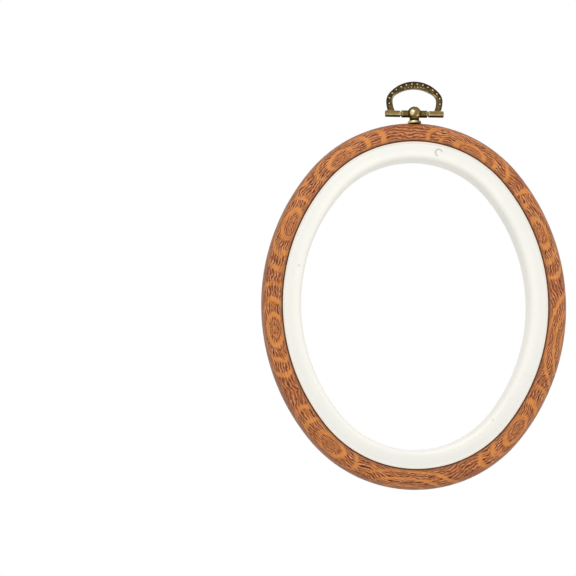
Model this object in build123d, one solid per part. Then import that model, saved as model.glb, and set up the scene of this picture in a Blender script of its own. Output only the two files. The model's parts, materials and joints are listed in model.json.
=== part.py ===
from build123d import *

# Oval embroidery hoop with a swivelling hanger, in millimetres.
# X runs to the right, the front faces -Y and Z points up. The origin is the hang point, where a
# nail carries the underside of the bail's arch, in the middle of the hoop's depth.

import math
import os

# Oval of the outer ring's bore: four tangent arcs, two at the ends and two at the sides
bore_half_width = 52.0
bore_half_height = 64.05
end_radius_share = 0.871  # of the smaller half size

# Rim of the outer ring
rim_width = 8.0
rim_depth = 10.0
rim_shoulder_share = 0.6  # radius of the outer front edge, of the depth
rim_back_radius = 3.2
front_fall = 0.35
front_bevel = 0.5
lip_reach = 1.6
lip_thickness = 1.4
lip_round = 0.4

# Inner ring, pressed into the outer one against its lip
seam_gap = 0.25
seat_gap = 0.2
band_width = 7.1
crest_rise = 0.4
band_recess = 0.45
edge_bead_width = 0.6
edge_bead_height = 0.2
edge_bead_slope = 0.15
band_front_round = 2.0
band_back_round = 1.0

# Bail: an arch that is widest a third of the way up, on two end barrels
arch_half_width = 11.15
arch_height = 12.95
arch_waist_height = 5.1
arch_side_thickness = 2.4
arch_top_thickness = 2.95
arch_depth = 2.3
arch_edge_round = 0.45
arch_shoulder_share = 0.6  # of the height above the waist
leg_bend_radius = 12.0
end_barrel_diameter = 2.55
barrel_overhang = 0.45  # past the arch's widest place
barrel_end_round = 0.25
barrel_gap = 0.4

# Ornament on the arch's front: a sunk channel with a long row and a short row of beads
channel_outer_margin = 0.55
channel_inner_margin = 0.4
channel_depth = 0.4
collar_height = 3.4
bead_diameter = 0.75
bead_count = 14
bead_margin = 0.45
small_bead_diameter = 0.55
small_bead_count = 7
small_bead_pitch = 1.25
small_bead_margin = 0.3

# Swivel knuckle: middle barrel, ball boss and neck
knuckle_barrel_length = 10.3
knuckle_barrel_diameter = 2.85
ball_diameter = 5.4
ball_rise = 0.3  # of its centre above the hinge axis
neck_diameter = 3.8

# Flange that the neck turns in, sunk a little into the soft rim
axis_above_rim = 3.65
flange_height = 1.4
flange_base_diameter = 5.3
flange_top_diameter = 4.4
flange_dome_bulge = 0.3
flange_sink = 0.6
cup_depth = 0.7

# Pin, screw and washer
pin_diameter = 1.6
pin_recess = 0.1
screw_diameter = 2.0
screw_hole_depth = 1.5
head_diameter = 3.8
head_height = 1.2
head_round = 0.35
slot_width = 0.5
slot_depth = 0.6
washer_diameter = 5.8
washer_thickness = 0.5
counterbore_diameter = 6.4
counterbore_depth = 2.4

# Clearances and the overrun of every cut
running_clearance = 0.05
press_clearance = 0.01
screw_hole_clearance = 0.15
face_clearance = 0.05
overrun = 2.0

# Heights that follow from the sizes above
axis_z = arch_top_thickness - arch_height
rim_top_z = axis_z - axis_above_rim
hoop_centre_z = rim_top_z - rim_width - bore_half_height
half_depth = rim_depth / 2
rim_shoulder_radius = rim_shoulder_share * rim_depth


def four_arc_oval(half_width, half_height, end_share):
    """Offsets and radii of an oval's end arcs and side arcs, which meet in line."""
    end_radius = end_share * min(half_width, half_height)
    end_rise = half_height - end_radius
    side_radius = (end_rise**2 + half_width**2 - end_radius**2) / (2 * (half_width - end_radius))
    return end_rise, end_radius, side_radius - half_width, side_radius


def oval_ring(section_points, corner_radii):
    """Solid ring: a section, in widths outward from the bore and in depths, led round the oval."""
    end_rise, end_radius, side_shift, side_radius = four_arc_oval(
        bore_half_width, bore_half_height, end_radius_share
    )
    joint_angle = math.degrees(math.atan2(end_rise, side_shift))
    arcs = [
        (-side_shift, 0, side_radius, -joint_angle, 2 * joint_angle),
        (0, end_rise, end_radius, joint_angle, 180 - 2 * joint_angle),
        (side_shift, 0, side_radius, 180 - joint_angle, 2 * joint_angle),
        (0, -end_rise, end_radius, 180 + joint_angle, 180 - 2 * joint_angle),
    ]
    ring = None
    for centre_x, centre_z, radius, start_angle, turn in arcs:
        points = [(radius + width, depth) for width, depth in section_points]
        outline = FilletPolyline(*points, radius=corner_radii, close=True)
        centre = Vector(centre_x, 0, hoop_centre_z + centre_z)
        start = math.radians(start_angle)
        start_plane = Plane(
            origin=centre,
            x_dir=(math.cos(start), 0, math.sin(start)),
            z_dir=(-math.sin(start), 0, math.cos(start)),
        )
        section = start_plane * make_face(outline)
        stretch = revolve(section, Axis(centre, (0, -1, 0)), turn)
        ring = stretch if ring is None else ring + stretch
    return ring


def upright_cylinder(diameter, bottom_z, top_z):
    """Cylinder on the hanger's vertical axis between two heights."""
    return extrude(Plane.XY.offset(bottom_z) * Circle(diameter / 2), top_z - bottom_z)


def barrel(diameter, start_x, end_x, end_round=0):
    """Cylinder on the hinge axis between two places along X, with its end edges rounded."""
    plane = Plane(origin=(start_x, 0, axis_z), x_dir=(0, 1, 0), z_dir=(1, 0, 0))
    body = extrude(plane * Circle(diameter / 2), end_x - start_x)
    return fillet(body.edges().filter_by(GeomType.CIRCLE), end_round) if end_round else body


def make_outer_ring():
    """Soft ring: broad outer shoulder, bevelled bore edge, back lip, and the hanger's hole."""
    section = [
        (0, -half_depth + front_bevel),
        (front_bevel, -half_depth),
        (rim_width, -half_depth + front_fall),
        (rim_width, half_depth),
        (-lip_reach, half_depth),
        (-lip_reach, half_depth - lip_thickness),
        (0, half_depth - lip_thickness),
    ]
    ring = oval_ring(section, [0, 0, rim_shoulder_radius, rim_back_radius, lip_round, lip_round, 0])
    bore_top_z = rim_top_z - rim_width
    sunk_diameter = flange_base_diameter + 2 * face_clearance
    ring -= upright_cylinder(sunk_diameter, rim_top_z - flange_sink, rim_top_z + overrun)
    hole_diameter = screw_diameter + 2 * screw_hole_clearance
    ring -= upright_cylinder(hole_diameter, bore_top_z - overrun, rim_top_z + overrun)
    ring -= upright_cylinder(
        counterbore_diameter, bore_top_z - overrun, bore_top_z + counterbore_depth
    )
    return ring


def make_inner_ring():
    """Rigid ring: its front rises from a thin edge bead at the seam to a crest near the opening."""
    outer = -seam_gap
    inner = -seam_gap - band_width
    bead_front = -half_depth + band_recess - edge_bead_height
    section = [
        (outer, bead_front),
        (outer - edge_bead_width, bead_front),
        (outer - edge_bead_width - edge_bead_slope, -half_depth + band_recess),
        (inner, -half_depth - crest_rise),
        (inner, half_depth),
        (-lip_reach - seam_gap, half_depth),
        (-lip_reach - seam_gap, half_depth - lip_thickness - seat_gap),
        (outer, half_depth - lip_thickness - seat_gap),
    ]
    return oval_ring(section, [0, 0, 0, band_front_round, band_back_round, 0, 0, 0])


def arch_outline(half_width, crown_height):
    """Half of an arch line from the hinge axis to the crown, as arcs that meet in line."""
    rise = crown_height - arch_waist_height
    shoulder_radius = arch_shoulder_share * rise
    crown_radius = ((half_width - shoulder_radius) ** 2 + rise**2 - shoulder_radius**2) / (
        2 * (rise - shoulder_radius)
    )
    shoulder_x = half_width - shoulder_radius
    crown_z = crown_height - crown_radius
    slope = math.atan2(arch_waist_height - crown_z, shoulder_x)
    joint_x = shoulder_x + shoulder_radius * math.cos(slope)
    joint_z = arch_waist_height + shoulder_radius * math.sin(slope)
    middle_slope = slope / 2
    shoulder_middle = (
        shoulder_x + shoulder_radius * math.cos(middle_slope),
        arch_waist_height + shoulder_radius * math.sin(middle_slope),
    )
    leg_radius = leg_bend_radius - (arch_half_width - half_width)
    leg_x = half_width - leg_radius
    foot_slope = math.asin(arch_waist_height / leg_radius)
    leg = ThreePointArc(
        (leg_x + leg_radius * math.cos(foot_slope), 0),
        (
            leg_x + leg_radius * math.cos(foot_slope / 2),
            arch_waist_height - leg_radius * math.sin(foot_slope / 2),
        ),
        (half_width, arch_waist_height),
    )
    shoulder = ThreePointArc((half_width, arch_waist_height), shoulder_middle, (joint_x, joint_z))
    crown_half = math.atan2(joint_x, joint_z - crown_z)
    crown_middle = (
        crown_radius * math.sin(crown_half / 2),
        crown_z + crown_radius * math.cos(crown_half / 2),
    )
    crown = ThreePointArc((joint_x, joint_z), crown_middle, (0, crown_height))
    return Wire([leg, shoulder, crown])


def arch_face(outer_margin, inner_margin):
    """Right half of the arch's front face, kept inside both of its edges by the margins."""
    outer = arch_outline(arch_half_width - outer_margin, arch_height - outer_margin)
    inner_height = arch_height - arch_top_thickness + inner_margin
    inner = arch_outline(arch_half_width - arch_side_thickness + inner_margin, inner_height)
    foot = Line(outer @ 0, inner @ 0)
    crown = Line(outer @ 1, inner @ 1)
    return make_face([*outer.edges(), *inner.edges(), foot, crown])


def both_sides(half):
    """A piece and its mirror image across the hanger's middle plane, as one."""
    return half + mirror(half, Plane.YZ)


def bead_places():
    """Centres of both rows of beads on the channel's floor, right of the middle and in it."""
    row = arch_outline(
        arch_half_width - channel_outer_margin - bead_margin,
        arch_height - channel_outer_margin - bead_margin,
    )
    small_row = arch_outline(
        arch_half_width - arch_side_thickness + channel_inner_margin + small_bead_margin,
        arch_height - arch_top_thickness + channel_inner_margin + small_bead_margin,
    )
    start = collar_height + bead_diameter
    leg_share = start / row.length
    places = []
    for index in range(bead_count // 2):
        share = 1 - (1 - leg_share) * (2 * index + 1) / (bead_count - 1)
        places.append((row @ share, bead_diameter))
    for index in range((small_bead_count + 1) // 2):
        share = 1 - index * small_bead_pitch / small_row.length
        places.append((small_row @ share, small_bead_diameter))
    return places


def end_barrel_span():
    """Places along X where the right end barrel starts and ends."""
    return knuckle_barrel_length / 2 + barrel_gap, arch_half_width + barrel_overhang


def make_bail():
    """Arch and end barrels in one casting, bored for the pin, with its beads."""
    front = Plane(origin=(0, 0, axis_z), x_dir=(1, 0, 0), z_dir=(0, -1, 0))
    arch = extrude(front * arch_face(0, 0), arch_depth / 2, both=True)
    arch = both_sides(arch)
    rims = arch.edges().filter_by(Plane.XZ).filter_by(GeomType.CIRCLE)
    arch = fillet(rims, arch_edge_round)
    channel = extrude(
        front.offset(arch_depth / 2 - channel_depth)
        * arch_face(channel_outer_margin, channel_inner_margin),
        channel_depth + overrun,
    )
    collar = Box(
        2 * (arch_half_width + overrun),
        2 * (arch_depth + overrun),
        collar_height,
        align=(Align.CENTER, Align.CENTER, Align.MIN),
    )
    arch -= both_sides(channel - Pos(0, 0, axis_z) * collar)
    barrel_start, barrel_end = end_barrel_span()
    half = barrel(end_barrel_diameter, barrel_start, barrel_end, barrel_end_round)
    floor_y = -arch_depth / 2 + channel_depth
    for place, diameter in bead_places():
        half += Pos(place.X, floor_y, axis_z + place.Y) * Sphere(diameter / 2)
    bail = arch + both_sides(half)
    bore_end = barrel_end + overrun
    return bail - barrel(pin_diameter + 2 * press_clearance, -bore_end, bore_end)


def make_hinge_pin():
    """Plain pin, a little short of the end barrels' outer faces."""
    reach = end_barrel_span()[1] - pin_recess
    return barrel(pin_diameter, -reach, reach)


def make_swivel_knuckle():
    """Middle barrel with its ball and neck, bored across for the pin and up for the screw."""
    half_length = knuckle_barrel_length / 2
    cup_floor_z = rim_top_z - flange_sink + flange_height - cup_depth
    body = barrel(knuckle_barrel_diameter, -half_length, half_length, barrel_end_round)
    body += Pos(0, 0, axis_z + ball_rise) * Sphere(ball_diameter / 2)
    body += upright_cylinder(neck_diameter, cup_floor_z + face_clearance, axis_z)
    pin_bore = pin_diameter + 2 * running_clearance
    body -= barrel(pin_bore, -half_length - overrun, half_length + overrun)
    screw_bore = screw_diameter + 2 * press_clearance
    hole_top_z = cup_floor_z + face_clearance + screw_hole_depth
    return body - upright_cylinder(screw_bore, cup_floor_z - overrun, hole_top_z)


def make_base_flange():
    """Domed collar: a cup for the neck above, a hole for the screw below."""
    bottom_z = rim_top_z - flange_sink
    top_z = bottom_z + flange_height
    base_radius = flange_base_diameter / 2
    top_radius = flange_top_diameter / 2
    middle_radius = (base_radius + top_radius) / 2 + flange_dome_bulge
    outline = [
        Line((0, bottom_z), (base_radius, bottom_z)),
        Line((base_radius, bottom_z), (base_radius, bottom_z + flange_sink)),
        ThreePointArc(
            (base_radius, bottom_z + flange_sink),
            (middle_radius, bottom_z + (flange_height + flange_sink) / 2),
            (top_radius, top_z),
        ),
        Line((top_radius, top_z), (0, top_z)),
        Line((0, top_z), (0, bottom_z)),
    ]
    body = revolve(Plane.XZ * make_face(outline), Axis.Z)
    body -= upright_cylinder(neck_diameter + 2 * running_clearance, top_z - cup_depth, top_z + overrun)
    hole = screw_diameter + 2 * screw_hole_clearance
    return body - upright_cylinder(hole, bottom_z - overrun, top_z)


def washer_top():
    """Height of the counterbore's floor, which the washer lies against."""
    return rim_top_z - rim_width + counterbore_depth


def make_screw_washer():
    """Flat washer on the floor of the outer ring's counterbore."""
    top_z = washer_top()
    body = upright_cylinder(washer_diameter, top_z - washer_thickness, top_z)
    hole = screw_diameter + 2 * screw_hole_clearance
    return body - upright_cylinder(hole, top_z - washer_thickness - overrun, top_z + overrun)


def make_hanger_screw():
    """Slotted screw, its head under the washer and its shank up in the neck."""
    head_top_z = washer_top() - washer_thickness - face_clearance
    cup_floor_z = rim_top_z - flange_sink + flange_height - cup_depth
    shank_top_z = cup_floor_z + screw_hole_depth
    head = upright_cylinder(head_diameter, head_top_z - head_height, head_top_z)
    lower_edge = head.edges().filter_by(GeomType.CIRCLE).sort_by(Axis.Z)[0]
    head = fillet(lower_edge, head_round)
    slot = Box(
        head_diameter + overrun,
        slot_width,
        slot_depth + overrun,
        align=(Align.CENTER, Align.CENTER, Align.MAX),
    )
    head -= Pos(0, 0, head_top_z - head_height + slot_depth) * slot
    return head + upright_cylinder(screw_diameter, head_top_z - head_round, shank_top_z)


pieces = {
    "outer_ring": make_outer_ring(),
    "inner_ring": make_inner_ring(),
    "bail": make_bail(),
    "hinge_pin": make_hinge_pin(),
    "swivel_knuckle": make_swivel_knuckle(),
    "base_flange": make_base_flange(),
    "screw_washer": make_screw_washer(),
    "hanger_screw": make_hanger_screw(),
}

os.makedirs("parts", exist_ok=True)
for name, piece in pieces.items():
    piece.label = name
    export_step(piece, f"parts/{name}.step")
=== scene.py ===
import json
import math
from collections import namedtuple

import bpy
from mathutils import Matrix, Vector


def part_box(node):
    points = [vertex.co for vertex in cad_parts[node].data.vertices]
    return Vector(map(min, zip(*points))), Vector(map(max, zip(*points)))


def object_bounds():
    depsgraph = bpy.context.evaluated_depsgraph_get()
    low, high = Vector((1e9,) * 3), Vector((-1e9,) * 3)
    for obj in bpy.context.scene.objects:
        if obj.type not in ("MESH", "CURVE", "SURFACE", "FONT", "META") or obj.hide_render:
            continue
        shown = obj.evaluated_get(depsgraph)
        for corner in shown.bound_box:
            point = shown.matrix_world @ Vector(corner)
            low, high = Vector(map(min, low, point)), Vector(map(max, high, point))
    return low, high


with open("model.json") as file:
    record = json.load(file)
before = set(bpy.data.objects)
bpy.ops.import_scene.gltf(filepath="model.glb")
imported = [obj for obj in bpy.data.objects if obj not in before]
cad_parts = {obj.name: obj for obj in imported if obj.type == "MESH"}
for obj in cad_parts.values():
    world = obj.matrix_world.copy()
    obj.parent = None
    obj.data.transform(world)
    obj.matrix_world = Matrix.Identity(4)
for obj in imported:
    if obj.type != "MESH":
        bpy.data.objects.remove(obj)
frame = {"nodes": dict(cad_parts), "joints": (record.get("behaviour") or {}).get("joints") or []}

# Oval embroidery hoop with a swivelling hanger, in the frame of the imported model: X to the right,
# the front faces -Y, Z up, and the origin is the hang point. What places objects is in metres,
# and the finishes reckon in millimetres.

cad_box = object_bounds()
MM = 0.001
WHITE = (1, 1, 1, 1)

ring_low, ring_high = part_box("inner_ring")
rim_low, rim_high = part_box("outer_ring")
HOOP_CENTRE = Vector((0, 0, (ring_high.z + ring_low.z) / 2))

# Both rings, in mm. The outer ring's bore stands a small gap outside the inner ring.
SEAM_GAP = 0.25
BORE_HALF_WIDTH = (ring_high.x - ring_low.x) / 2 / MM + SEAM_GAP
BORE_HALF_HEIGHT = (ring_high.z - ring_low.z) / 2 / MM + SEAM_GAP
RIM_WIDTH = rim_high.x / MM - BORE_HALF_WIDTH
RIM_FRONT = rim_low.y / MM

# The bore's oval, in mm: two arcs at its ends and two at its sides, tangent to each other.
END_RADIUS_SHARE = 0.871
END_RADIUS = END_RADIUS_SHARE * BORE_HALF_WIDTH
END_RISE = BORE_HALF_HEIGHT - END_RADIUS
SIDE_RADIUS = (END_RISE**2 + BORE_HALF_WIDTH**2 - END_RADIUS**2) / (
    2 * (BORE_HALF_WIDTH - END_RADIUS)
)
SIDE_SHIFT = SIDE_RADIUS - BORE_HALF_WIDTH
SIDE_ANGLE = math.atan2(END_RISE, SIDE_SHIFT)
QUARTER_LENGTH = SIDE_RADIUS * SIDE_ANGLE + END_RADIUS * (math.pi / 2 - SIDE_ANGLE)
HALF_LENGTH = 2 * QUARTER_LENGTH


def srgb(red, green, blue):
    """Linear colour from one as a screen shows it, 0 to 255."""
    linear = []
    for value in (red, green, blue):
        share = value / 255
        linear.append(share / 12.92 if share <= 0.04045 else ((share + 0.055) / 1.055) ** 2.4)
    return (*linear, 1)


class Reading:
    """What one node socket gives from point to point. Arithmetic on it adds Math nodes."""

    def __init__(self, tree, socket):
        self.tree = tree
        self.socket = socket

    def math(self, operation, *others):
        inputs = dict(enumerate((self, *others)))
        return self.tree.node("ShaderNodeMath", {"operation": operation}, inputs)

    def __add__(self, other):
        return self.math("ADD", other)

    def __sub__(self, other):
        return self.math("SUBTRACT", other)

    def __rsub__(self, other):
        return self.math("MULTIPLY_ADD", -1, other)

    def __mul__(self, other):
        return self.math("MULTIPLY", other)

    def __truediv__(self, other):
        return self.math("DIVIDE", other)

    def __abs__(self):
        return self.math("ABSOLUTE")

    def below(self, limit):
        """1 where the reading is below the limit, else 0."""
        return self.math("LESS_THAN", limit)

    def smaller(self, other):
        return self.math("MINIMUM", other)

    def larger(self, other):
        return self.math("MAXIMUM", other)

    def rise(self, start, end):
        """0 up to start and 1 from end on, eased between them. A start above end falls instead."""
        settings = {"interpolation_type": "SMOOTHSTEP"}
        inputs = {"Value": self, "From Min": start, "From Max": end}
        return self.tree.node("ShaderNodeMapRange", settings, inputs)

    def with_side(self, other):
        """Long side of a right-angled triangle."""
        return (self * self + other * other).math("SQRT")

    def waves(self):
        """1 at whole numbers and 0 halfway between them, in straight slopes."""
        return abs(self.math("FRACT") * 2 - 1)


class NodeTree:
    """Shader nodes of a material or of the world."""

    def __init__(self, tree):
        self.nodes = tree.nodes
        self.links = tree.links

    def node(self, kind, settings=None, inputs=None, output=0):
        """Adds a node: its settings first, then values or readings for its sockets."""
        node = self.nodes.new(kind)
        for name, value in (settings or {}).items():
            setattr(node, name, value)
        for name, value in (inputs or {}).items():
            if isinstance(value, Reading):
                self.links.new(value.socket, node.inputs[name])
            else:
                node.inputs[name].default_value = value
        return Reading(self, node.outputs[output])

    def seen(self):
        """1 for rays that reach the eye, straight, mirrored or refracted, and 0 for the rest."""
        path = self.node("ShaderNodeLightPath", output="Is Camera Ray")
        for other in ("Is Glossy Ray", "Is Transmission Ray"):
            path = path.larger(self.node("ShaderNodeLightPath", output=other))
        return path

    def end_in(self, output, share, first, second):
        """Mixes two shaders, the second by its share, into the tree's output."""
        mixed = self.node("ShaderNodeMixShader", {}, {0: share, 1: first, 2: second})
        self.links.new(mixed.socket, self.nodes[output].inputs["Surface"])


class Finish(NodeTree):
    """A material on the Principled shader, with the place on the object in mm."""

    def __init__(self, name, **constants):
        self.material = bpy.data.materials.new(name)
        self.material.use_nodes = True
        super().__init__(self.material.node_tree)
        self.shader = self.nodes["Principled BSDF"]
        for socket, value in constants.items():
            self.shader.inputs[socket.replace("_", " ")].default_value = value
        self.place = self.node("ShaderNodeTexCoord", output="Object")
        self.x, self.y, self.z = (part / MM for part in self.parts(self.place))

    def feed(self, **readings):
        """Links readings to the shader's sockets."""
        for socket, reading in readings.items():
            self.links.new(reading.socket, self.shader.inputs[socket.replace("_", " ")])

    def parts(self, vector):
        """X, Y and Z of a vector."""
        split = self.node("ShaderNodeSeparateXYZ", inputs={0: vector})
        outputs = split.socket.node.outputs
        return [Reading(self, outputs[axis]) for axis in range(3)]

    def vector(self, x, y, z):
        return self.node("ShaderNodeCombineXYZ", inputs={0: x, 1: y, 2: z})

    def choose(self, share, first, second):
        """First number where the share is 0, second where it is 1."""
        return self.node("ShaderNodeMix", {}, {0: share, 2: first, 3: second})

    def blend(self, share, first, second):
        """First colour where the share is 0, second where it is 1."""
        settings = {"data_type": "RGBA", "clamp_factor": True}
        return self.node("ShaderNodeMix", settings, {0: share, 6: first, 7: second}, output=2)

    def paint(self, ground, *layers):
        """Lays colours over a ground, each by its share, one after another."""
        for share, colour in layers:
            ground = self.blend(share, ground, colour)
        return ground

    def noise(self, vector, scale=1.0, detail=2.0):
        inputs = {"Vector": vector, "Scale": scale, "Detail": detail}
        return self.node("ShaderNodeTexNoise", {}, inputs)

    def speckle(self, cells_per_mm, detail=2.0):
        """Noise all through the object, in so many cells to the mm."""
        return self.noise(self.place, cells_per_mm / MM, detail)

    def bump(self, height, distance, strength):
        """Normal of a relief whose height of 1 stands for a distance in mm."""
        inputs = {"Height": height, "Distance": distance * MM, "Strength": strength}
        return self.node("ShaderNodeBump", {}, inputs)


OvalPlace = namedtuple("OvalPlace", "along outward circle_x circle_y")


def place_on_oval(finish):
    """Place round the oval: the length along the bore from its right side, anticlockwise up to
    half a turn and clockwise below zero, how far outward of the bore, and the same turn on a
    circle as long as the bore."""
    height = finish.z - HOOP_CENTRE.z / MM
    right, up = abs(finish.x), abs(height)
    side_angle = up.math("ARCTAN2", right + SIDE_SHIFT)
    end_angle = (up - END_RISE).math("ARCTAN2", right)
    at_side = side_angle.below(SIDE_ANGLE)
    side_out = (right + SIDE_SHIFT).with_side(up) - SIDE_RADIUS
    end_out = right.with_side(up - END_RISE) - END_RADIUS
    outward = finish.choose(at_side, end_out, side_out)
    end_length = end_angle * END_RADIUS + (SIDE_RADIUS - END_RADIUS) * SIDE_ANGLE
    length = finish.choose(at_side, end_length, side_angle * SIDE_RADIUS)
    from_right = finish.choose(finish.x.below(0), length, HALF_LENGTH - length)
    along = from_right * height.math("SIGN")
    radius = HALF_LENGTH / math.pi
    turn = along / radius
    return OvalPlace(along, outward, turn.math("COSINE") * radius, turn.math("SINE") * radius)


# Eyes of the printed grain, in mm: along the bore from its right side, and outward of it
GRAIN_EYES = (
    (28, 2), (70, 1), (121, 2.5), (153, 3), (-172.5, 3.3),
    (-125, 3.7), (-95, 9.5), (-50, 3.5), (-13, 9.2),
)
EYE_STRETCH = 2.0  # how much longer an eye is along the ring than across it
GROWTH_RING = 5.8  # from one ring of an eye to the next
STREAK_PITCH = 0.6  # from one streak to the next, across the ring
FAN_SPREAD = 0.05  # by how much streaks draw apart in each mm from their eye

# Depths in mm behind the rim's front: the print goes on over the outer wall and anew on the back
WALL_PRINT_START, BACK_PRINT_START = 2.0, 8.0
BACK_PRINT_SHIFT = 17.0


def nearest_eye(finish, along, across):
    """Distance to the nearest eye, as along the ring, and the place along and across from it."""
    eyes = []
    for place, height in GRAIN_EYES:
        from_eye = (along - place).math("WRAP", HALF_LENGTH, -HALF_LENGTH)
        over_eye = across - height
        eyes.append((from_eye.with_side(over_eye * EYE_STRETCH), from_eye, over_eye))
    nearest, fan_along, fan_across = eyes[0]
    for distance, from_eye, over_eye in eyes[1:]:
        closer = distance.below(nearest)
        fan_along = finish.choose(closer, fan_along, from_eye)
        fan_across = finish.choose(closer, fan_across, over_eye)
        nearest = nearest.smaller(distance)
    return nearest, fan_along, fan_across


def streaks(grain, fan, in_field):
    """Dark, darkest and light streaks, which break off here and there."""
    jitter = (grain(fan, length=2.2, width=0.9, detail=1.0) - 0.5) * 1.5
    ripple = (fan / STREAK_PITCH + jitter).waves()
    strength = grain(fan, length=1.7, width=0.7, detail=1.5)
    dark = ripple.rise(0.40, 0.80) * strength.rise(0.26, 0.46) * in_field
    darkest = ripple.rise(0.3, 0.7) * strength.rise(0.54, 0.64) * in_field
    light = ripple.rise(0.5, 0.15) * strength.rise(0.36, 0.54) * in_field
    return dark, darkest, light


def wood_print():
    """Soft vinyl printed with wood grain: eyes with their growth rings in clean orange, between
    them fine dark streaks that fan out. Painted shade darkens it beside the bore and along the
    seam, and a painted greyish reflection lies on the outside."""
    finish = Finish("wood_print_vinyl", Specular_IOR_Level=0.25)
    oval = place_on_oval(finish)
    depth = finish.y - RIM_FRONT
    at_back = 1 - depth.below(BACK_PRINT_START)
    across = oval.outward + (depth - WALL_PRINT_START).larger(0) * (1 - at_back)
    along = oval.along + at_back * BACK_PRINT_SHIFT

    def grain(place, length, width, detail=2.0):
        """Noise in cells of a length along the ring and a width across it."""
        x, y = oval.circle_x / length, oval.circle_y / length
        return finish.noise(finish.vector(x, y, place / width), detail=detail)

    # Growth rings: wide ones round each eye, three times as many fine ones inside it
    sway = (grain(across, length=7, width=5, detail=1.0) - 0.5) * 3.6
    ragged = (grain(across, length=1.6, width=0.9) - 0.5) * 1.1
    nearest, fan_along, fan_across = nearest_eye(finish, along + sway, across + ragged)
    level = nearest / GROWTH_RING
    fading = grain(across, length=5, width=3, detail=1.0).rise(0.3, 0.55) * 0.5 + 0.5
    band = level.waves().rise(0.52, 0.84) * level.rise(3.6, 3.2) * level.rise(0.2, 0.5) * fading
    nested = (level * 3 + ragged).waves().rise(0.5, 0.9) * level.rise(1.9, 1.2)

    # Streaks between the rings: they spread from the line through an eye, lean and waver
    lean = (grain(across * 0.1, length=9, width=9, detail=0.0) - 0.5) * 2.8
    waver = (grain(across, length=2.2, width=0.8, detail=1.5) - 0.5) * 0.42
    fan = (fan_across - ragged * 0.8) / (abs(fan_along) * FAN_SPREAD + 1) + lean + waver
    in_field = (1 - band * 0.85) * (1 - level.rise(1.5, 0.9) * 0.3)
    dark, darkest, light = streaks(grain, fan, in_field)

    cloud = grain(fan, length=6, width=2).rise(0.35, 0.65)
    far_off = level.rise(2.3, 3.6)
    colour = finish.paint(
        finish.blend(cloud, srgb(164, 92, 46), srgb(196, 116, 56)),
        (level.rise(1.6, 0.9) * 0.7, srgb(206, 126, 64)),  # inside an eye
        (far_off * 0.6, srgb(166, 92, 52)),  # far from the eyes
        (band, srgb(222, 141, 70)),  # growth rings, then the fine ones
        (nested * (1 - band) * 0.85, srgb(138, 70, 34)),
        (light * (0.84 - far_off * 0.26), srgb(230, 164, 118)),
        (dark * (0.84 - far_off * 0.2), srgb(104, 46, 14)),
        (darkest * (0.88 - far_off * 0.35), srgb(60, 22, 4)),
        (across.rise(RIM_WIDTH - 1.6, RIM_WIDTH + 0.6) * 0.5, srgb(142, 108, 92)),  # painted reflection, greyish on the outer edge
        (across.rise(1.5, 0.7) * 0.5, srgb(154, 102, 70)),  # painted shade beside the bore
        (across.rise(0.5, 0.15) * 0.9, srgb(104, 56, 30)),  # painted shade along the seam; the same dark brown also covers the bore and back lip
    )

    pores = grain(across, length=0.3, width=0.3)
    relief = light * 0.4 - dark * 0.6 - darkest * 0.4 + band * 0.15 + pores * 0.15
    normal = finish.bump(relief, distance=0.1, strength=0.6)
    finish.feed(Base_Color=colour, Normal=normal, Roughness=dark * 0.12 + 0.46)
    return finish.material


# Marks of the mould on the inner ring's front: x and z in mm
MOULD_MARK = (9.0, -26.25)
MOULD_MARK_RADIUS = 1.35
PIN_DOTS = ((29.7, -130.4), (-45.7, -71.4))


def moulded_white():
    """Off-white moulded plastic, greyer towards the seam as painted shade, with a shallow
    ring-shaped mould mark near the top whose upper left side alone is drawn darker as painted
    shade, two small dots, and a warm tint on the edge beside the wood as a painted reflection of
    it."""
    finish = Finish("white_plastic", IOR=1.46)
    inward = place_on_oval(finish).outward * -1
    on_front = finish.y.below(0)
    right, up = finish.x - MOULD_MARK[0], finish.z - MOULD_MARK[1]
    line = abs(right.with_side(up) - MOULD_MARK_RADIUS).rise(0.45, 0.1)
    # A real mould mark, drawn darker only on the upper left side of its ring as painted shade
    mark = line * on_front * (right - up).rise(1.7, 0.2)
    dots = [
        (finish.x - x).with_side(finish.z - z).rise(0.7, 0.3) * on_front for x, z in PIN_DOTS
    ]
    # Painted reflection of the wood: a warm tint on the white edge beside it
    wood_reflection = inward.rise(1.0, 0.3) * finish.y.rise(-4.0, -4.4)

    cloud = finish.speckle(0.06, detail=3.0)
    colour = finish.paint(
        # Greyer towards the seam and brighter towards the inner edge: painted shade
        finish.blend(inward.rise(2.0, 5.6), srgb(243, 242, 235), srgb(250, 248, 239)),
        (cloud.rise(0.4, 0.7) * 0.25, srgb(241, 240, 236)),
        (mark * 0.8, srgb(180, 183, 178)),
        *((dot * 0.6, srgb(216, 212, 202)) for dot in dots),
        (wood_reflection * 0.55, srgb(240, 212, 184)),
    )
    relief = finish.speckle(2.6) * 0.12 + finish.speckle(0.16, detail=1.0) * 0.6 - mark
    normal = finish.bump(relief, distance=0.06, strength=0.5)
    finish.feed(Base_Color=colour, Normal=normal, Roughness=cloud * 0.12 + 0.34)
    return finish.material


joints = {joint["name"]: joint for joint in frame["joints"]}
AXIS_HEIGHT = joints["bail_hinge"]["pos_m"][2] / MM

# Hanger seen from the front, in mm from the bail's hinge. The arch's outer edge has three arcs
# on each side, and the arch grows thicker towards its crown.
ARCH_WAIST = 5.1
CROWN_RADIUS, CROWN_CENTRE = 12.884, 0.066
SHOULDER_RADIUS, SHOULDER_PLACE = 4.71, 6.44
LEG_RADIUS, LEG_PLACE = 12.0, -0.85
ARCH_SIDE, ARCH_TOP, ARCH_TAPER_END = 2.4, 2.95, 8.0
BALL_RISE = 0.3

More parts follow.
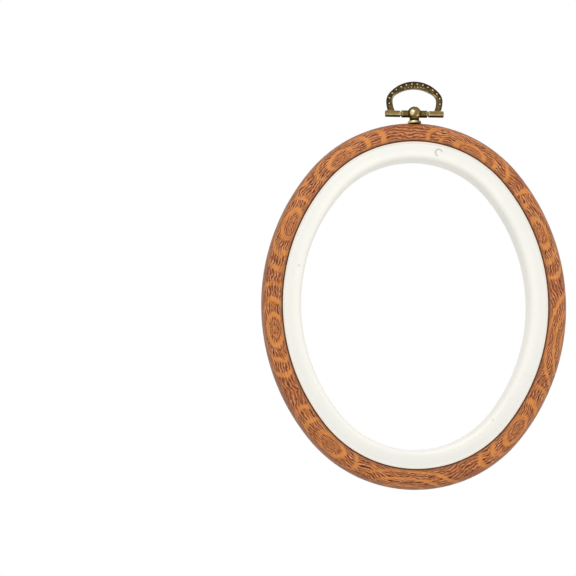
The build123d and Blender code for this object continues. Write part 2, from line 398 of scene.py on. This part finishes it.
# Where one part of the hanger gives way to the next, as a start and an end in mm
ARCH_FOOT, BEADS_FOOT = (1.15, 1.45), (3.3, 3.5)
BALL_FOOT, NECK_TOP, NECK_FOOT = (-2.4, -2.0), (-2.0, -2.3), (-3.05, -2.9)
FLANGE_TOP, FLANGE_FOOT = (-2.75, -2.9), (-4.0, -3.65)
BALL_EDGE, BALL_MIDDLE, CLEAR_OF_BALL = (2.72, 2.66), (2.6, 1.7), (3.0, 3.3)
MIDDLE_BARREL_END = (5.3, 5.2)
COLLARS = ((4.85, (0.35, 0.15)), (5.75, (0.25, 0.1)))
BEAD_HEIGHT = (0.76, 0.86)


def across_the_arch(finish, side, rise):
    """How far across the arch, from 0 at its outer edge to 1 at its inner one."""
    leg = LEG_RADIUS - (side - LEG_PLACE).with_side(rise - ARCH_WAIST)
    shoulder = SHOULDER_RADIUS - (side - SHOULDER_PLACE).with_side(rise - ARCH_WAIST)
    crown = CROWN_RADIUS - side.with_side(rise - CROWN_CENTRE)
    joint_slope = (ARCH_WAIST - CROWN_CENTRE) / SHOULDER_PLACE
    on_shoulder = (rise - CROWN_CENTRE - side * joint_slope).below(0)
    edge = finish.choose(on_shoulder, crown, shoulder)
    edge = finish.choose(rise.below(ARCH_WAIST), edge, leg)
    taper = (ARCH_TOP - ARCH_SIDE) / ARCH_TAPER_END
    return edge / (ARCH_TOP - side.smaller(ARCH_TAPER_END) * taper)


def arch_wear_and_sheen(finish, rise, faces_up, rub):
    """Wear and painted light of the bail's arch, and its beads: darker in its channel, painted
    shade along its edges, bright bead tops that are partly painted highlight, a painted highlight
    on faces turned down, and rubbed wear.
    """
    inward = across_the_arch(finish, abs(finish.x), rise)
    outer_rim, inner_rim = inward.rise(0.27, 0.18), inward.rise(0.82, 0.90)
    channel = (1 - outer_rim) * (1 - inner_rim)
    decorated = finish.y.below(0) * rise.rise(*BEADS_FOOT)
    bead = abs(finish.y).rise(*BEAD_HEIGHT) * channel * decorated
    plain = rub * 0.8 + 0.20
    # Bead tops bright: partly rubbed, partly painted highlight
    sunk = rub * 0.9 + 0.13 + bead * 0.82
    wear_and_sheen = finish.choose(channel * decorated, plain, sunk)
    # Painted highlight on faces turned down, and painted shade along both edges
    lit_underneath = faces_up.rise(-0.15, -0.6)
    return wear_and_sheen - outer_rim * 0.22 - inner_rim * 0.18 + lit_underneath * 0.5, bead


def barrel_wear_and_sheen(side, faces_up, rub):
    """Wear and painted light of the hinge's barrels: two bright lines along them as painted
    reflections, painted shade on their undersides, bright collars as painted highlights, and rubbed
    wear.
    """
    # Painted reflections: a bright band on the sides and a line low down, painted shade underneath
    lit_side = faces_up.rise(-0.80, -0.56) * faces_up.rise(1.0, 0.86)
    low_sheen_line = faces_up.rise(-0.60, -0.42) * faces_up.rise(-0.05, -0.25)
    wear_and_sheen = lit_side * 0.40 + low_sheen_line * 0.26 + rub * 0.4
    middle = side.rise(*MIDDLE_BARREL_END)
    inner, outer = (abs(side - place).rise(*edge) for place, edge in COLLARS)
    return wear_and_sheen * (1 - middle * 0.5) + (inner + outer) * lit_side * 0.3


def ball_wear_and_sheen(x, over_ball, from_ball, rub):
    """Wear and painted light of the ball boss: lighter in its middle than at its rim as painted
    shade, two painted highlights left of the middle and at the lower right, and rubbed wear.
    """
    # Painted highlights, left of the middle and at the lower right
    left = (x + 1.1).with_side(over_ball * 0.7).rise(1.05, 0.35)
    right = (x - 1.15).with_side(over_ball + 1.3).rise(0.8, 0.2)
    return from_ball.rise(*BALL_MIDDLE) * 0.46 + left * 0.62 + right * 0.4 + rub * 0.35


def antique_brass():
    """Cast brass, darkened in its recesses, with painted highlights and reflections on the barrels,
    ball, beads, flange and the arch's underside, painted shade under the barrels, on the neck,
    along the arch's edges and at the flange's foot, and rubbed wear where it stands out.
    """
    finish = Finish("antique_brass", Metallic=1.0)
    x, rise = finish.x, finish.z - AXIS_HEIGHT
    facing = finish.node("ShaderNodeTexCoord", output="Normal")
    _, faces_back, faces_up = finish.parts(facing)
    rub = finish.speckle(0.9, detail=3.0) - 0.5
    pits = finish.speckle(3.5)
    over_ball = rise - BALL_RISE
    from_ball = x.with_side(over_ball)

    # The barrels, then what lies over them: ball, neck, flange and arch
    wear_and_sheen = barrel_wear_and_sheen(abs(x), faces_up, rub)
    ball = from_ball.rise(*BALL_EDGE) * rise.rise(*BALL_FOOT) * abs(faces_back).rise(0.1, 0.3)
    wear_and_sheen = finish.choose(ball, wear_and_sheen, ball_wear_and_sheen(x, over_ball, from_ball, rub))
    # The neck under the ball, darkened as painted shade
    neck = rise.rise(*NECK_TOP) * rise.rise(*NECK_FOOT)
    wear_and_sheen = wear_and_sheen * (1 - neck * 0.9) - neck * 0.1
    # The flange: a painted highlight on its left, painted shade at its foot, and rubbed wear
    flange = rise.rise(*FLANGE_FOOT) * (x.rise(1.6, -1.2) * 0.6 + 0.45) + rub * 0.4
    wear_and_sheen = finish.choose(rise.rise(*FLANGE_TOP), wear_and_sheen, flange)
    on_arch = rise.rise(*ARCH_FOOT) * from_ball.rise(*CLEAR_OF_BALL)
    arch, bead = arch_wear_and_sheen(finish, rise, faces_up, rub)
    wear_and_sheen = finish.choose(on_arch, wear_and_sheen, arch)

    colour = finish.paint(
        finish.blend(wear_and_sheen.rise(-0.1, 0.45), srgb(38, 27, 13), srgb(126, 104, 60)),
        (wear_and_sheen.rise(0.4, 0.95), srgb(226, 211, 160)),  # painted highlights and rubbed wear
        (on_arch * (1 - bead) * 0.25, srgb(84, 70, 56)),
        (pits.rise(0.56, 0.7) * 0.5, srgb(40, 28, 13)),  # dark in small pits
    )
    normal = finish.bump(rub + pits * 0.5, distance=0.05, strength=0.6)
    finish.feed(Base_Color=colour, Normal=normal, Roughness=0.5 - wear_and_sheen.rise(0.3, 1.0) * 0.2)
    return finish.material


def plated_steel():
    """Dull plated steel with fine turning lines round the upright axis."""
    finish = Finish("dark_steel", Metallic=1.0)
    radius = finish.x.with_side(finish.y)
    lines = finish.noise(finish.vector(radius, finish.z, 0), scale=9.0)
    cloud = finish.speckle(0.7, detail=3.0)
    colour = finish.blend(cloud.rise(0.35, 0.7), srgb(112, 106, 96), srgb(156, 150, 138))
    normal = finish.bump(lines, distance=0.02, strength=0.5)
    finish.feed(Base_Color=colour, Normal=normal, Roughness=cloud * 0.2 + 0.3)
    return finish.material


def dress(material, *nodes):
    """Gives CAD nodes their material."""
    for name in nodes:
        frame["nodes"][name].data.materials.clear()
        frame["nodes"][name].data.materials.append(material)


dress(wood_print(), "outer_ring")
dress(moulded_white(), "inner_ring")
dress(antique_brass(), "bail", "swivel_knuckle", "base_flange")
dress(plated_steel(), "hinge_pin", "hanger_screw", "screw_washer")

# Surroundings, in metres
FLOOR_DROP = 0.07
FLOOR_RADIUS, FLOOR_SIDES = 4.0, 96
SHADOW_EDGE = (50, 250)  # mm from the hoop's middle
WORLD_LIGHT = 0.64

# Camera, from the outlines of the two rings in the photograph: degrees, metres and mm of lens
CAMERA_AZIMUTH, CAMERA_ELEVATION = -7.42, -4.92
CAMERA_PAN, CAMERA_TILT = 4.78, 0.625
CAMERA_DISTANCE = 0.594
CAMERA_LENS, CAMERA_SENSOR = 94.53, 36


def make_floor():
    """Round pale floor below the hanging hoop: it keeps the hoop's shadow and is white far off."""
    height = cad_box[0].z - FLOOR_DROP
    rim = []
    for side in range(FLOOR_SIDES):
        angle = 2 * math.pi * side / FLOOR_SIDES
        rim.append((FLOOR_RADIUS * math.cos(angle), FLOOR_RADIUS * math.sin(angle), height))
    mesh = bpy.data.meshes.new("floor")
    mesh.from_pydata(rim, [], [tuple(range(FLOOR_SIDES))])
    floor = bpy.data.objects.new("floor", mesh)
    bpy.context.scene.collection.objects.link(floor)
    finish = Finish("pale_floor", Base_Color=(0.86, 0.86, 0.85, 1), Roughness=0.8)
    away = finish.x.with_side(finish.y).rise(*SHADOW_EDGE)
    pale = Reading(finish, finish.shader.outputs[0])
    glow = finish.node("ShaderNodeEmission", inputs={"Color": WHITE, "Strength": 1.0})
    finish.end_in("Material Output", finish.seen() * (away * 0.4 + 0.6), pale, glow)
    mesh.materials.append(finish.material)


def make_world():
    """Even white surroundings: white where they are seen, a little dimmer as light."""
    world = bpy.data.worlds.new("studio")
    world.use_nodes = True
    bpy.context.scene.world = world
    tree = NodeTree(world.node_tree)
    background = tree.nodes["Background"]
    background.inputs["Color"].default_value = WHITE
    background.inputs["Strength"].default_value = WORLD_LIGHT
    light = Reading(tree, background.outputs[0])
    white = tree.node("ShaderNodeBackground", inputs={"Color": WHITE, "Strength": 1.0})
    tree.end_in("World Output", tree.seen(), light, white)


def make_lamp(name, place, size, power):
    """Square soft lamp, placed from the hoop's centre and aimed at it."""
    data = bpy.data.lights.new(name, "AREA")
    data.size = size
    data.energy = power
    lamp = bpy.data.objects.new(name, data)
    lamp.location = HOOP_CENTRE + Vector(place)
    lamp.rotation_euler = (-Vector(place)).to_track_quat("-Z", "Y").to_euler()
    bpy.context.scene.collection.objects.link(lamp)


def make_camera():
    """Camera a little to the left of the hoop and below it, turned so that the hoop lies right of
    the picture's middle."""
    azimuth, elevation = math.radians(CAMERA_AZIMUTH), math.radians(CAMERA_ELEVATION)
    back = Vector((
        math.sin(azimuth) * math.cos(elevation),
        -math.cos(azimuth) * math.cos(elevation),
        math.sin(elevation),
    ))
    data = bpy.data.cameras.new("camera")
    data.lens = CAMERA_LENS
    data.sensor_width = CAMERA_SENSOR
    data.clip_start, data.clip_end = 0.01, 20
    camera = bpy.data.objects.new("camera", data)
    camera.location = HOOP_CENTRE + back * CAMERA_DISTANCE
    turn = (-back).to_track_quat("-Z", "Y")
    for angle, axis in ((CAMERA_PAN, "Y"), (CAMERA_TILT, "X")):
        turn = turn @ Matrix.Rotation(math.radians(angle), 3, axis).to_quaternion()
    camera.rotation_mode = "QUATERNION"
    camera.rotation_quaternion = turn
    bpy.context.scene.collection.objects.link(camera)
    bpy.context.scene.camera = camera


make_floor()
make_world()
make_lamp("key_lamp", place=(-0.35, -0.9, 0.75), size=0.7, power=4.7)
make_lamp("fill_lamp", place=(0.8, -0.6, 0.1), size=0.6, power=1.3)
make_camera()
bpy.context.scene.view_settings.view_transform = "Standard"
